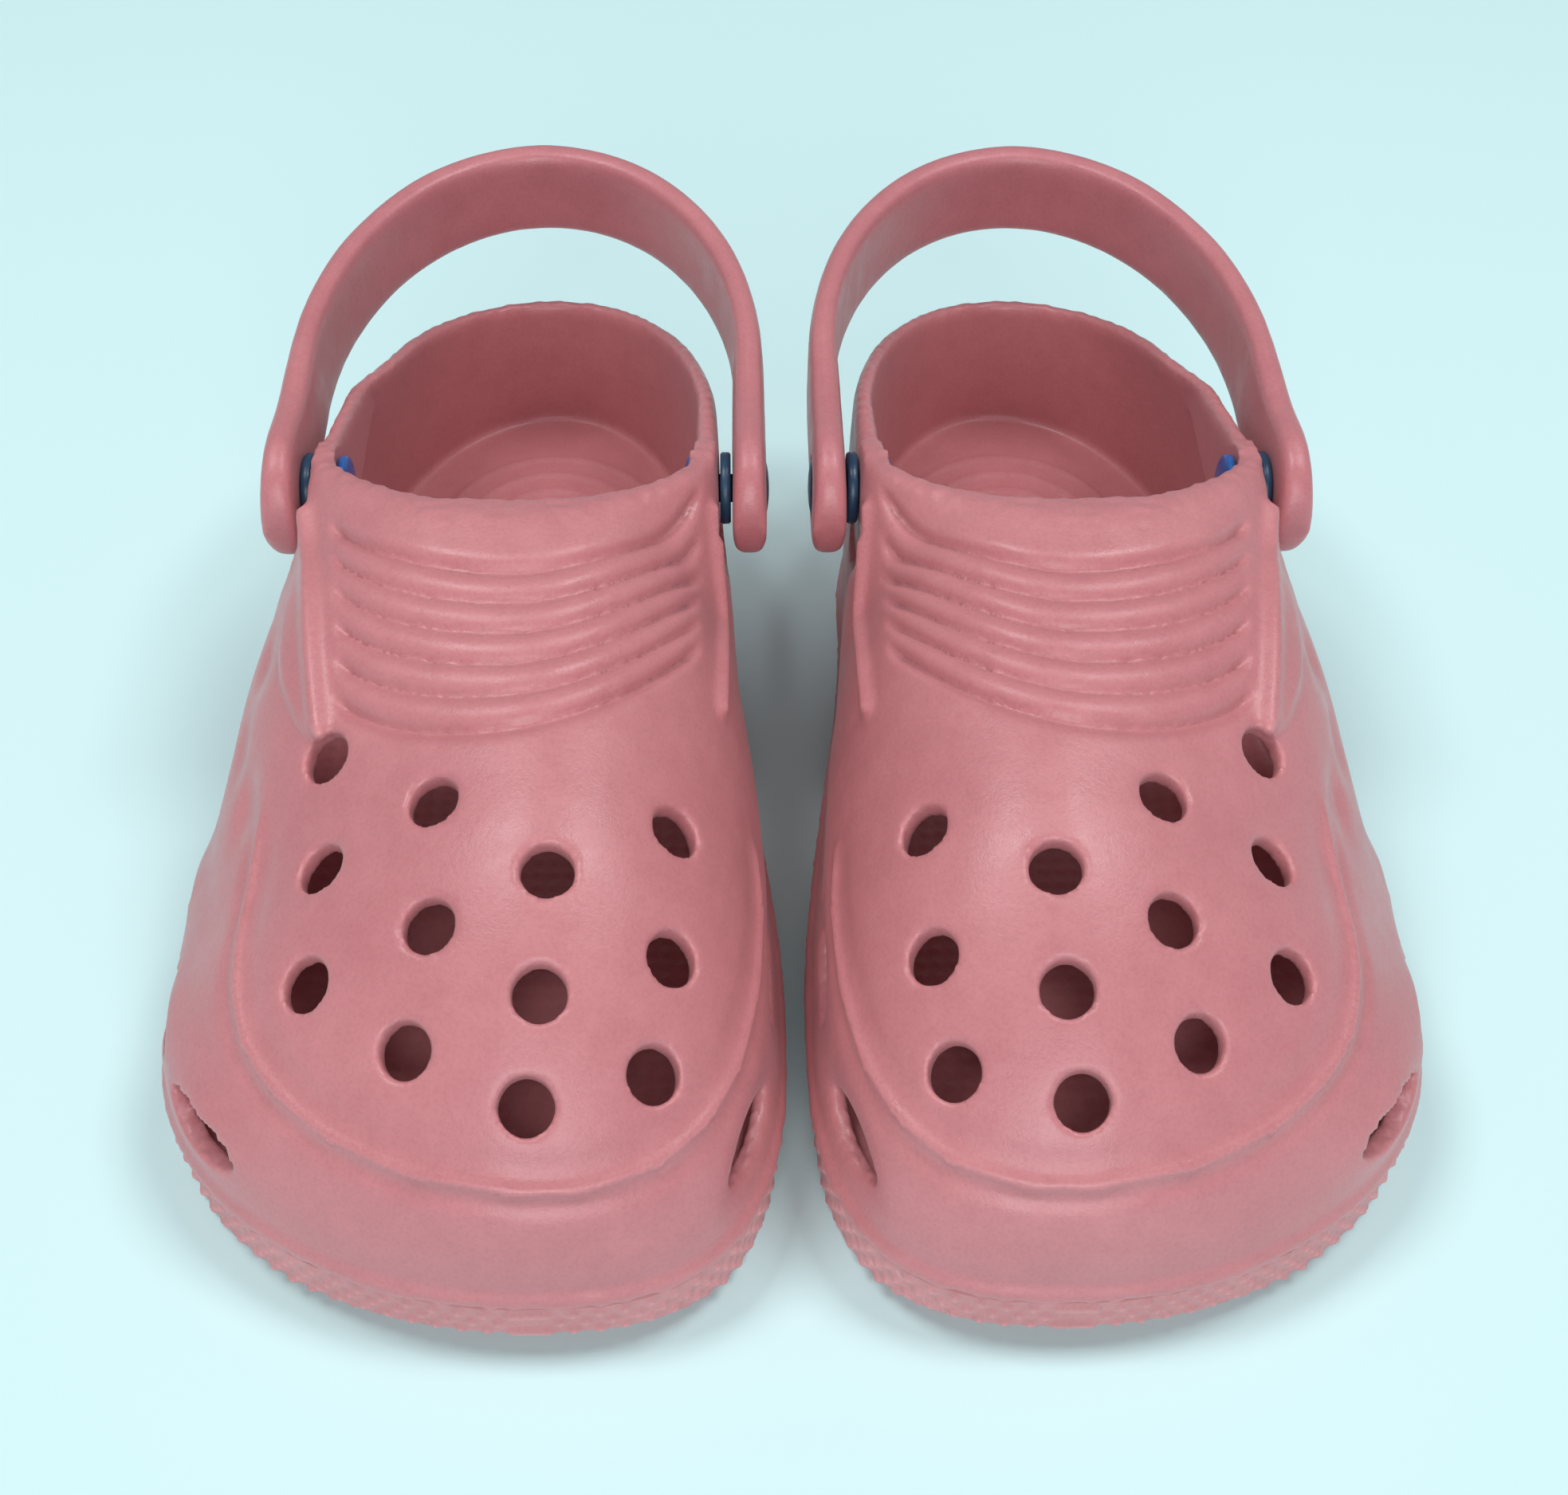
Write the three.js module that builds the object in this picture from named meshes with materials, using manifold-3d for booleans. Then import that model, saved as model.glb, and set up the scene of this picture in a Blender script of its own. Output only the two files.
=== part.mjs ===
// A pair of moulded foam garden clogs with swinging heel straps, in millimetres.
// Each clog is drawn as the wearer's right one: x towards the other foot, y from toe to heel, z up.
// The left clog is the same set of solids, mirrored.
import * as THREE from "three";
import { mergeVertices } from "three/addons/utils/BufferGeometryUtils.js";
import Module from "manifold-3d";

const wasm = await Module();
wasm.setup();

// ---------------------------------------------------------------- driving dimensions

const fitGap = 0.3; // left between two pieces that touch

const pair = {
  gap: 3, // between the two clogs at their nearest
};

const sole = {
  length: 231,
  toeCentreX: 6,
  heelCentreX: 0.5,
  lateralBall: { x: 57.4, y: 50, roundness: 1.88 },
  medialBall: { x: 48.7, y: 55, roundness: 3 },
  lateralWaistFullness: 1.2,
  lateralHeelHalfWidth: 43.5,
  medialHeelHalfWidth: 38.2,
  heelCentreFromBack: 69,
  heelRoundness: 2,
  seamHeight: 14,
  flangeHeight: 3,
  flangeLedge: 1.2,
  sideTaper: 2.5,
  toeSpringRise: 6.5,
  toeSpringLength: 62,
  heelBevelRise: 2,
  heelBevelLength: 26,
  treadGrooveDepth: 2.5,
  treadGrooveWidth: 4,
  treadGroovePitch: 16,
  treadFirstGrooveY: 36,
};

const upper = {
  wall: 3.8,
  crownRiseEndY: 58, // where the toe box reaches the straight instep line
  crownHeightThere: 71.5,
  instepSlope: 0.25,
  toeRoundness: 2.05,
  ridgeX: { toe: 5, ball: 9, instep: 2, heel: 0.5 },
  collarFront: { y: 111, z: 84.2 },
  collarBack: { fromBack: 3.5, z: 55 },
};

// Stations along the foot where the cross-section is set, and its roundness on each side there.
const section = {
  ballY: 55,
  instepY: 112,
  ankleY: 144,
  heelFromBack: 38,
  lateral: { ball: 1.56, instep: 2.5, ankle: 3.8, heel: 1.9 },
  medial: { ball: 2.05, instep: 2.6, ankle: 6, heel: 3.6 },
};

const footbed = { toeZ: 18.5, ballZ: 17, archZ: 20, heelZ: 24.5 };

const ventHole = { diameter: 8.4, depth: 16 };

// Centres of the round holes in the toe box, as [x, y] in four columns from the outer side.
const ventHoleCentres = [
  [-26.7, 36.5], [-25.9, 54.5], [-26.7, 73],
  [-9.9, 23.4], [-6.7, 38.6], [-7.3, 58.3],
  [8.7, 15.3], [10.6, 28], [11.4, 44.3],
  [27.6, 21.2], [30.3, 36.6], [30.7, 56.6],
];

const slot = { length: 20, height: 6.5, z: 25, depth: 22 };
const slotStations = { lateral: [26, 52, 78], medial: [24, 58, 86] };

const strap = {
  pivotY: 138,
  pivotZ: 69,
  seatInset: 1.4, // of the flat it swings over, from the heel's narrower side
  thickness: 6.3,
  bendStart: 6, // behind the middle of the heel
  heelStandOff: 4, // behind the back of the sole
  bandHeight: 19.2,
  lobeRadius: 12,
  flatMargin: 2, // of the flat on the shell, round the lobe
  flatSideSlope: 0.7,
  restLift: 7, // degrees above level, as worn behind the heel
};

const rivet = {
  shaftRadius: 2.6,
  headRadius: 5.6,
  headThickness: 1.9,
  headProud: 0.5, // of the strap, whose lobe the head is sunk into
  capRadius: 6,
  capThickness: 2.4,
  capSocketDepth: 1.4,
  washerRadius: 6.6,
  washerThickness: 1.9,
  domeShare: 0.7, // of a head's radius that is flat on top
  seatMargin: 1,
  seatDepth: 4,
};

// How finely each kind of curve is divided.
const parts = {
  outline: 28,
  upperLength: 30,
  upperArc: 20,
  hollowLength: 26,
  hollowArc: 16,
  sideCurve: 8,
  footbed: 24,
  strapBend: 24,
  lobe: 32,
  bar: 24,
  rivet: 20,
  ventHole: 16,
  slot: 12,
};

const cutOver = 1; // how far a cutter reaches past the face it opens

// ---------------------------------------------------------------- small helpers

const smooth = (u) => {
  const t = THREE.MathUtils.clamp(u, 0, 1);
  return t * t * (3 - 2 * t);
};

// The value at y of a quantity given at rising stations, eased between them.
function along(stations, values, y) {
  let i = 0;
  while (i < stations.length - 2 && y > stations[i + 1]) i += 1;
  const u = (y - stations[i]) / (stations[i + 1] - stations[i]);
  return THREE.MathUtils.lerp(values[i], values[i + 1], smooth(u));
}

// The height from 0 to 1 of a superellipse at the share t of its half-width.
function archHeight(t, roundness) {
  const share = Math.min(Math.abs(t), 1);
  return (1 - share ** roundness) ** (1 / roundness);
}

function cosineSpaced(from, to, count) {
  return Array.from({ length: count + 1 }, (_, i) => {
    const share = (1 - Math.cos((Math.PI * i) / count)) / 2;
    return THREE.MathUtils.lerp(from, to, share);
  });
}

// A closed solid from rings of points, each with the same count, capped flat at both ends.
function skin(rings) {
  const count = rings[0].length;
  const positions = rings.flat().flatMap((p) => [p.x, p.y, p.z]);
  const indices = [];
  for (let r = 0; r < rings.length - 1; r += 1) {
    for (let i = 0; i < count; i += 1) {
      const a = r * count + i;
      const b = r * count + ((i + 1) % count);
      indices.push(a, b, a + count, b, b + count, a + count);
    }
  }
  const lastRing = (rings.length - 1) * count;
  for (let i = 1; i < count - 1; i += 1) {
    indices.push(0, i + 1, i);
    indices.push(lastRing, lastRing + i, lastRing + i + 1);
  }
  const geometry = new THREE.BufferGeometry();
  geometry.setAttribute("position", new THREE.Float32BufferAttribute(positions, 3));
  geometry.setIndex(indices);
  return geometry;
}

function toSolid(geometry) {
  const bare = geometry.clone();
  bare.deleteAttribute("normal");
  bare.deleteAttribute("uv");
  const merged = mergeVertices(bare, 1e-4);
  return new wasm.Manifold(
    new wasm.Mesh({
      numProp: 3,
      vertProperties: new Float32Array(merged.attributes.position.array),
      triVerts: new Uint32Array(merged.index.array),
    }),
  );
}

function toGeometry(solid) {
  const mesh = solid.getMesh();
  const geometry = new THREE.BufferGeometry();
  geometry.setAttribute("position", new THREE.BufferAttribute(mesh.vertProperties, 3));
  geometry.setIndex(new THREE.BufferAttribute(mesh.triVerts, 1));
  geometry.computeVertexNormals();
  return geometry;
}

const joined = (solids) => solids.reduce((whole, solid) => whole.add(solid));
const cut = (solid, cutters) => solid.subtract(joined(cutters));

// A side outline of [y, z] points, carried across the clog's full width.
function acrossWidth(outline) {
  const reach = sole.lateralBall.x + sole.medialBall.x;
  const shape = new THREE.Shape(outline.map(([y, z]) => new THREE.Vector2(y, z)));
  const geometry = new THREE.ExtrudeGeometry(shape, { depth: 2 * reach, bevelEnabled: false });
  geometry.translate(0, 0, -reach);
  geometry.applyMatrix4(
    new THREE.Matrix4().makeBasis(
      new THREE.Vector3(0, 1, 0),
      new THREE.Vector3(0, 0, 1),
      new THREE.Vector3(1, 0, 0),
    ),
  );
  return toSolid(geometry);
}

// A round bar along x, from one x to another, at a given y and z.
function barAlongX(radius, fromX, toX, y, z, sides = parts.bar) {
  const geometry = new THREE.CylinderGeometry(radius, radius, Math.abs(toX - fromX), sides);
  geometry.rotateZ(Math.PI / 2);
  geometry.translate((fromX + toX) / 2, y, z);
  return toSolid(geometry);
}

// ---------------------------------------------------------------- the strap's fit on the shell

const narrowHeelHalf = Math.min(sole.lateralHeelHalfWidth, sole.medialHeelHalfWidth);
const outerSeatHalf = narrowHeelHalf - strap.seatInset;
const innerSeatHalf = outerSeatHalf - upper.wall;
const strapInnerHalf = outerSeatHalf + rivet.washerThickness + 2 * fitGap;
const strapOuterHalf = strapInnerHalf + strap.thickness;
const rivetHeadTop = strapOuterHalf + rivet.headProud;
const rivetHeadStart = rivetHeadTop - rivet.headThickness;
const boreRadius = rivet.shaftRadius + fitGap;

// The widest half-width the shell may have at y and z, so that the strap swings clear of it:
// flat round the pivot and along the worn band, sloping out below them.
function shellHalfLimit(y, z) {
  const behind = Math.max(y - strap.pivotY, 0);
  const ahead = Math.max(strap.pivotY - y, 0);
  const bandZ = strap.pivotZ + behind * Math.tan(THREE.MathUtils.degToRad(strap.restLift));
  const distance = Math.hypot(ahead, z - bandZ);
  const past = distance - strap.lobeRadius - strap.flatMargin;
  return outerSeatHalf + strap.flatSideSlope * Math.max(past, 0);
}

// The bore through both side walls for the rivet shafts, with a flat seat for each cap inside
// and a flat outside that the washer sits on and the strap's lobe swings over.
function pivotCutters() {
  const { heelCentreX: x } = sole;
  const { pivotY: y, pivotZ: z } = strap;
  const reach = outerSeatHalf + cutOver;
  const seats = [-1, 1].flatMap((side) => {
    const inside = x + side * innerSeatHalf;
    const outside = x + side * outerSeatHalf;
    const depth = side * rivet.seatDepth;
    return [
      barAlongX(rivet.capRadius + rivet.seatMargin, inside, inside - depth, y, z),
      barAlongX(strap.lobeRadius + strap.flatMargin, outside, outside + depth, y, z),
    ];
  });
  return [barAlongX(boreRadius, x - reach, x + reach, y, z), ...seats];
}

// ---------------------------------------------------------------- the clog's surface

const heelCentreY = sole.length - sole.heelCentreFromBack;
const upperBaseZ = sole.seamHeight + sole.flangeHeight;

// How far the outline lies from x = 0 on one side at y, set in by the given amount.
function outlineX(side, y, inset = 0) {
  const ball = side < 0 ? sole.lateralBall : sole.medialBall;
  const heelHalf = side < 0 ? sole.lateralHeelHalfWidth : sole.medialHeelHalfWidth;
  const ballX = side * (ball.x - inset);
  const heelX = sole.heelCentreX + side * (heelHalf - inset);
  if (y < ball.y) {
    const t = (ball.y - y) / (ball.y - inset);
    return sole.toeCentreX + (ballX - sole.toeCentreX) * archHeight(t, ball.roundness);
  }
  if (y > heelCentreY) {
    const t = (y - heelCentreY) / (sole.heelCentreFromBack - inset);
    return sole.heelCentreX + (heelX - sole.heelCentreX) * archHeight(t, sole.heelRoundness);
  }
  const u = (y - ball.y) / (heelCentreY - ball.y);
  const fullness = side < 0 ? sole.lateralWaistFullness * Math.sin(Math.PI * u) ** 2 : 0;
  return THREE.MathUtils.lerp(ballX, heelX, smooth(u)) + side * fullness;
}

// Height of the toe box and instep along its ridge; behind the collar front it is cut away.
function crownZ(y, inset = 0) {
  const line = upper.crownHeightThere + upper.instepSlope * (y - upper.crownRiseEndY) - inset;
  const t = (upper.crownRiseEndY - y) / (upper.crownRiseEndY - sole.flangeLedge - inset);
  const toeShare = y < upper.crownRiseEndY ? archHeight(t, upper.toeRoundness) : 1;
  return upperBaseZ + (line - upperBaseZ) * toeShare;
}

function ridgeX(y) {
  const { toe, ball, instep, heel } = upper.ridgeX;
  return along([0, section.ballY, section.instepY, heelCentreY], [toe, ball, instep, heel], y);
}

function roundnessAt(side, y) {
  const set = side < 0 ? section.lateral : section.medial;
  const heelY = sole.length - section.heelFromBack;
  const stations = [section.ballY, section.instepY, section.ankleY, heelY];
  return along(stations, [set.ball, set.instep, set.ankle, set.heel], y);
}

// The upper's surface point at y and angle, from 0 on the outer side over the ridge to PI.
function upperPoint(y, angle, inset) {
  const side = angle < Math.PI / 2 ? -1 : 1;
  const power = 2 / roundnessAt(side, y);
  const edge = outlineX(side, y, sole.flangeLedge + inset);
  const ridge = THREE.MathUtils.clamp(
    ridgeX(y),
    outlineX(-1, y, sole.flangeLedge + inset),
    outlineX(1, y, sole.flangeLedge + inset),
  );
  const across = Math.abs(Math.cos(angle)) ** power;
  const rise = Math.abs(Math.sin(angle)) ** power;
  const x = ridge + (edge - ridge) * across;
  const z = upperBaseZ + (crownZ(y, inset) - upperBaseZ) * rise;
  const half = Math.min(Math.abs(x - sole.heelCentreX), shellHalfLimit(y, z) - inset);
  const limitedX = sole.heelCentreX + Math.sign(x - sole.heelCentreX) * half;
  return new THREE.Vector3(y > upper.crownRiseEndY ? limitedX : x, y, z);
}

const tipMargin = 0.05; // keeps the end rings of a skin from closing to a point

// The solid under the upper's surface, set in by the given amount, down to a flat base.
function upperSolid(inset, baseZ, stationCount, arcCount) {
  const margin = sole.flangeLedge + inset + tipMargin;
  const rings = cosineSpaced(margin, sole.length - margin, stationCount).map((y) => {
    const arc = Array.from({ length: arcCount + 1 }, (_, i) =>
      upperPoint(y, (Math.PI * i) / arcCount, inset),
    );
    const first = arc[0].clone().setZ(baseZ);
    const last = arc[arcCount].clone().setZ(baseZ);
    return [first, ...arc, last];
  });
  return toSolid(skin(rings));
}

// The outline of the sole as a closed ring at height z, set in by the given amount.
function outlineRing(inset, z) {
  const margin = inset + tipMargin;
  const ys = cosineSpaced(margin, sole.length - margin, parts.outline);
  const lateral = ys.map((y) => new THREE.Vector3(outlineX(-1, y, inset), y, z));
  const medial = ys.map((y) => new THREE.Vector3(outlineX(1, y, inset), y, z));
  return [...medial, ...lateral.reverse()];
}

function collarZ(y) {
  const { collarFront, collarBack } = upper;
  const backY = sole.length - collarBack.fromBack;
  const u = (y - collarFront.y) / (backY - collarFront.y);
  return THREE.MathUtils.lerp(collarFront.z, collarBack.z, u);
}

// The surface point above x on the upper at y, found by halving the angle.
function upperPointAbove(x, y, inset = 0) {
  const halvings = 24;
  let low = 0;
  let high = Math.PI;
  for (let i = 0; i < halvings; i += 1) {
    const middle = (low + high) / 2;
    if (upperPoint(y, middle, inset).x < x) low = middle;
    else high = middle;
  }
  return upperPoint(y, (low + high) / 2, inset);
}

function upperNormal(x, y) {
  const step = 0.5;
  const alongX = upperPointAbove(x + step, y).sub(upperPointAbove(x - step, y));
  const alongY = upperPointAbove(x, y + step).sub(upperPointAbove(x, y - step));
  return alongX.cross(alongY).normalize();
}

// ---------------------------------------------------------------- cutters

function ventHoleCutter(x, y) {
  const radius = ventHole.diameter / 2;
  const geometry = new THREE.CylinderGeometry(radius, radius, ventHole.depth, parts.ventHole);
  const turn = new THREE.Quaternion().setFromUnitVectors(
    new THREE.Vector3(0, 1, 0),
    upperNormal(x, y),
  );
  geometry.applyQuaternion(turn);
  const centre = upperPointAbove(x, y);
  geometry.translate(centre.x, centre.y, centre.z);
  return toSolid(geometry);
}

// A lens-shaped drain slot through the side wall, lying along the outline.
function slotCutter(side, y) {
  const step = 2;
  const inset = sole.flangeLedge;
  const ahead = new THREE.Vector3(outlineX(side, y - step, inset), y - step, 0);
  const behind = new THREE.Vector3(outlineX(side, y + step, inset), y + step, 0);
  const lengthways = behind.sub(ahead).normalize();
  const half = slot.height / 2;
  const geometry = new THREE.CylinderGeometry(half, half, slot.depth, parts.slot);
  geometry.rotateX(Math.PI / 2);
  geometry.scale(slot.length / slot.height, 1, 1);
  const up = new THREE.Vector3(0, 0, 1);
  geometry.applyMatrix4(
    new THREE.Matrix4().makeBasis(lengthways, up, lengthways.clone().cross(up)),
  );
  geometry.translate(outlineX(side, y, inset), y, slot.z);
  return toSolid(geometry);
}

function aboveCollar() {
  const top = 2 * crownZ(sole.length);
  const reach = 40; // past both ends of the collar
  const frontY = upper.collarFront.y - reach;
  const backY = sole.length + reach;
  return acrossWidth([
    [frontY, collarZ(frontY)],
    [backY, collarZ(backY)],
    [backY, top],
    [frontY, top],
  ]);
}

function aboveFootbed() {
  const stations = [0, section.ballY, section.instepY, heelCentreY, sole.length];
  const heights = [footbed.toeZ, footbed.ballZ, footbed.archZ, footbed.heelZ, footbed.heelZ];
  const top = 2 * crownZ(sole.length);
  const floor = Array.from({ length: parts.footbed + 1 }, (_, i) => {
    const y = (sole.length * i) / parts.footbed;
    return [y, along(stations, heights, y)];
  });
  return acrossWidth([...floor, [sole.length, top], [0, top]]);
}

// ---------------------------------------------------------------- the pieces

function shell() {
  const seamZ = sole.seamHeight;
  const flange = toSolid(skin([outlineRing(0, seamZ), outlineRing(0, upperBaseZ)]));
  const insideFlangeZ = seamZ + sole.flangeHeight / 3;
  const outer = flange.add(upperSolid(0, insideFlangeZ, parts.upperLength, parts.upperArc));
  const space = upperSolid(upper.wall, insideFlangeZ, parts.hollowLength, parts.hollowArc);
  const hollow = space.intersect(aboveFootbed());
  const holes = ventHoleCentres.map(([x, y]) => ventHoleCutter(x, y));
  const slots = [
    ...slotStations.lateral.map((y) => slotCutter(-1, y)),
    ...slotStations.medial.map((y) => slotCutter(1, y)),
  ];
  const cutters = [aboveCollar(), hollow, ...holes, ...slots];
  return cut(outer, [...cutters, ...pivotCutters()]);
}

function outsole() {
  const topZ = sole.seamHeight - fitGap;
  const block = toSolid(
    skin([outlineRing(sole.sideTaper, 0), outlineRing(sole.flangeLedge / 2, topZ)]),
  );
  const steps = Array.from({ length: parts.sideCurve + 1 }, (_, i) => i / parts.sideCurve);
  const springEnd = sole.toeSpringLength;
  const toeSpring = steps.map((s) => [springEnd * s, sole.toeSpringRise * (1 - s) ** 2]);
  const bevelStart = sole.length - sole.heelBevelLength;
  const heelBevel = steps
    .slice(1)
    .map((s) => [bevelStart + sole.heelBevelLength * s, sole.heelBevelRise * s ** 2]);
  const below = acrossWidth([
    ...toeSpring,
    [bevelStart, 0],
    ...heelBevel,
    [sole.length, -sole.seamHeight],
    [0, -sole.seamHeight],
  ].reverse());
  const pitches = Math.floor((bevelStart - sole.treadFirstGrooveY) / sole.treadGroovePitch);
  const grooves = Array.from({ length: pitches + 1 }, (_, i) => {
    const y = sole.treadFirstGrooveY + i * sole.treadGroovePitch;
    const half = sole.treadGrooveWidth / 2;
    const floor = sole.treadGrooveDepth;
    return acrossWidth([
      [y - half, -cutOver],
      [y + half, -cutOver],
      [y + half / 2, floor],
      [y - half / 2, floor],
    ]);
  });
  return cut(block, [below, ...grooves]);
}

// The heel strap in its own frame: the pivot at the origin, the band running level towards +y.
function strapSolid() {
  const reach = sole.length - strap.pivotY + strap.heelStandOff;
  const straightLength = heelCentreY + strap.bendStart - strap.pivotY;
  const outlineAt = (inset) => {
    const half = strapOuterHalf - inset;
    const depth = reach - straightLength - inset;
    const start = [new THREE.Vector2(half, 0)];
    const bend = Array.from({ length: parts.strapBend + 1 }, (_, i) => {
      const angle = (Math.PI * i) / parts.strapBend;
      return new THREE.Vector2(
        half * Math.cos(angle),
        straightLength + depth * Math.sin(angle),
      );
    });
    return [...start, ...bend, new THREE.Vector2(-half, 0)];
  };
  const shape = new THREE.Shape([...outlineAt(0), ...outlineAt(strap.thickness).reverse()]);
  const band = new THREE.ExtrudeGeometry(shape, { depth: strap.bandHeight, bevelEnabled: false });
  band.translate(0, 0, -strap.bandHeight / 2);
  const lobes = [-1, 1].map((side) =>
    barAlongX(
      strap.lobeRadius,
      side * strapInnerHalf,
      side * strapOuterHalf,
      0,
      0,
      parts.lobe,
    ),
  );
  const bores = [-1, 1].map((side) =>
    barAlongX(
      boreRadius,
      side * (strapInnerHalf - cutOver),
      side * (strapOuterHalf + cutOver),
      0,
      0,
    ),
  );
  const recesses = [-1, 1].map((side) =>
    barAlongX(
      rivet.headRadius + fitGap,
      side * (rivetHeadStart - fitGap),
      side * (strapOuterHalf + cutOver),
      0,
      0,
    ),
  );
  return cut(joined([toSolid(band), ...lobes]), [...bores, ...recesses]);
}

const rivetCapOpen = innerSeatHalf - fitGap;
const rivetSocketFloor = rivetCapOpen - rivet.capSocketDepth;

// A rivet stud along +x: its head in the strap's recess, its shaft reaching into the inner cap.
function rivetStud() {
  const shaftEnd = rivetSocketFloor + fitGap;
  return turnedAlongX([
    [0, shaftEnd],
    [rivet.shaftRadius, shaftEnd],
    [rivet.shaftRadius, rivetHeadStart],
    [rivet.headRadius, rivetHeadStart],
    [rivet.headRadius, rivetHeadStart + rivet.headThickness / 3],
    [rivet.headRadius * rivet.domeShare, rivetHeadTop],
    [0, rivetHeadTop],
  ]);
}

// The rivet's inner cap, with a blind socket for the shaft's end.
function rivetCap() {
  const closed = rivetCapOpen - rivet.capThickness;
  return turnedAlongX([
    [0, closed],
    [rivet.capRadius * rivet.domeShare, closed],
    [rivet.capRadius, closed + rivet.capThickness / 2],
    [rivet.capRadius, rivetCapOpen],
    [boreRadius, rivetCapOpen],
    [boreRadius, rivetSocketFloor],
    [0, rivetSocketFloor],
  ]);
}

function washer() {
  const inside = outerSeatHalf + fitGap;
  const outside = inside + rivet.washerThickness;
  return turnedAlongX([
    [boreRadius, inside],
    [rivet.washerRadius, inside],
    [rivet.washerRadius, outside],
    [boreRadius, outside],
    [boreRadius, inside],
  ]);
}

// A profile of [radius, x] points turned about the x axis.
function turnedAlongX(profile) {
  const points = profile.map(([radius, x]) => new THREE.Vector2(radius, x));
  const geometry = new THREE.LatheGeometry(points, parts.rivet);
  geometry.rotateZ(-Math.PI / 2);
  return geometry;
}

// ---------------------------------------------------------------- materials

const foamColour = 0xc9828a;
const material = (color, roughness) =>
  new THREE.MeshStandardMaterial({ color, roughness, metalness: 0 });

const looks = {
  foam: () => material(foamColour, 0.55),
  tread: () => material(0xcf8d94, 0.7),
  bluePlastic: () => material(0x2f6fc4, 0.35),
  navyPlastic: () => material(0x27405f, 0.4),
};

// ---------------------------------------------------------------- assembly

const shellGeometry = toGeometry(shell());
const outsoleGeometry = toGeometry(outsole());
const strapGeometry = toGeometry(strapSolid());

function named(name, geometry, look) {
  const mesh = new THREE.Mesh(geometry, look());
  mesh.name = name;
  return mesh;
}

// The three rivet pieces on one side; side -1 turns them round to face the other way.
function rivetSet(foot, sideName, side) {
  const set = new THREE.Group();
  set.position.set(sole.heelCentreX, strap.pivotY, strap.pivotZ);
  set.rotation.z = side < 0 ? Math.PI : 0;
  set.add(named(`${foot}_${sideName}_rivet_stud`, rivetStud(), looks.navyPlastic));
  set.add(named(`${foot}_${sideName}_rivet_cap`, rivetCap(), looks.bluePlastic));
  set.add(named(`${foot}_${sideName}_washer`, washer(), looks.navyPlastic));
  return set;
}

function clog(foot) {
  const group = new THREE.Group();
  group.add(named(`${foot}_shell`, shellGeometry, looks.foam));
  group.add(named(`${foot}_outsole`, outsoleGeometry, looks.tread));
  const swing = named(`${foot}_heel_strap`, strapGeometry, looks.foam);
  swing.position.set(sole.heelCentreX, strap.pivotY, strap.pivotZ);
  swing.rotation.x = THREE.MathUtils.degToRad(strap.restLift);
  group.add(swing);
  group.add(rivetSet(foot, "lateral", -1));
  group.add(rivetSet(foot, "medial", 1));
  return group;
}

const clogReach = Math.max(sole.medialBall.x, sole.heelCentreX + rivetHeadTop);
const middleToClog = clogReach + pair.gap / 2;

const rightClog = clog("right");
rightClog.position.x = -middleToClog;

const leftClog = clog("left");
leftClog.scale.x = -1;
leftClog.position.x = middleToClog;

const clogs = new THREE.Group();
clogs.add(rightClog, leftClog);

// The origin is the middle of the pair's footprint, on the ground.
const box = new THREE.Box3().setFromObject(clogs, true);
clogs.position.y = -(box.min.y + box.max.y) / 2;
clogs.position.z = -box.min.z;

export default clogs;
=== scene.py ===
import math

import bpy
import numpy as np
from mathutils import Matrix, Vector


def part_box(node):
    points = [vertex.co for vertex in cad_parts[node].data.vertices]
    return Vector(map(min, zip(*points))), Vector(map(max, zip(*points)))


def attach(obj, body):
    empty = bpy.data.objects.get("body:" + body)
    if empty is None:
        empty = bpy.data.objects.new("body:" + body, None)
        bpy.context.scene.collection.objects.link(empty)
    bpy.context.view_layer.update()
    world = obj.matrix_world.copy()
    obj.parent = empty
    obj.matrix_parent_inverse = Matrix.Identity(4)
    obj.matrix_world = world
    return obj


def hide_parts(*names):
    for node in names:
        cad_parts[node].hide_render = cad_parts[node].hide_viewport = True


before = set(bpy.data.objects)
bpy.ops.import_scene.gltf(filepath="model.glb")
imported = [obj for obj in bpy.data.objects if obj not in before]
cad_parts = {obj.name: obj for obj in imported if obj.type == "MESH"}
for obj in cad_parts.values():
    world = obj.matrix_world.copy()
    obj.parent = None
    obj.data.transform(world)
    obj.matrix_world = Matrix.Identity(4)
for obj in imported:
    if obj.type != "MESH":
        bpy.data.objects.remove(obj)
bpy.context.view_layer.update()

# All shapes are made in millimetres in one clog's own frame, as the wearer's right one:
# x towards the other foot, y from toe to heel, z up. They are then set in the part's frame in metres.
# Side -1 is the outer (lateral) side and side 1 the inner (medial) one.
MM = 0.001

# ---------------------------------------------------------------- sizes

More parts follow.
